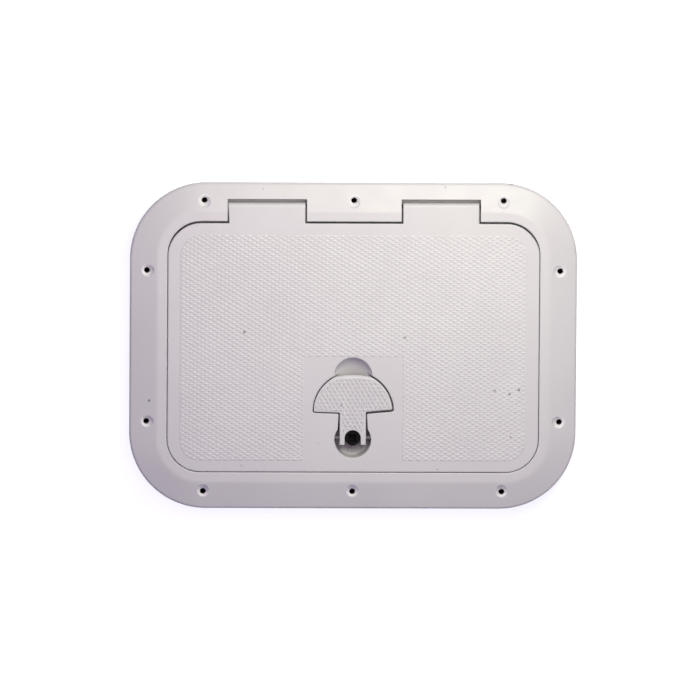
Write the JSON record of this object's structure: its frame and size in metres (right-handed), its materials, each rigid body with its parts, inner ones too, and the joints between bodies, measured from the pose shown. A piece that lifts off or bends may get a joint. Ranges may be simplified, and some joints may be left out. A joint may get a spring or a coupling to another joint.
{
  "type": "deck inspection plate",
  "caption": "Rectangular moulded deck hatch with a flanged frame, a hinged lid with sunk fold-down handle, a turn latch and countersunk fixing holes.",
  "frame": {"origin": "middle of the rectangle of corner screw holes, on the deck surface under the flange", "axes": "+X along the long side, +Y towards the hinges, +Z out of the deck"},
  "size_m": [0.375, 0.275, 0.0402],
  "materials": {
    "white_plastic": "satin moulded",
    "black_plastic": "fine moulded",
    "rubber": "matt",
    "stainless": "brushed"
  },
  "bodies": {
    "frame_body": {"frame": "white_plastic", "hinge_pin_left": "black_plastic", "hinge_pin_right": "black_plastic"},
    "lid_body": {"lid": "white_plastic", "gasket": "rubber", "handle_pin_left": "black_plastic", "handle_pin_right": "black_plastic"},
    "handle_body": {"handle": "white_plastic"},
    "latch_body": {"latch_spindle": "black_plastic", "spindle_seal": "rubber", "latch_cam": "black_plastic", "cam_washer": "stainless", "cam_screw": "stainless"}
  },
  "joints": [
    {"name": "lid_hinge", "type": "hinge", "parent": "frame_body", "child": "lid_body", "pos_m": [0, 0.118, 0.0058], "axis": [-1, 0, 0], "range_deg": [0, 110]},
    {"name": "handle_lift", "type": "hinge", "parent": "lid_body", "child": "handle_body", "pos_m": [0, -0.0773, 0.0065], "axis": [1, 0, 0], "range_deg": [0, 90]},
    {"name": "latch_turn", "type": "hinge", "parent": "lid_body", "child": "latch_body", "pos_m": [0, -0.0773, 0], "axis": [0, 0, -1], "range_deg": [0, 90]}
  ]
}
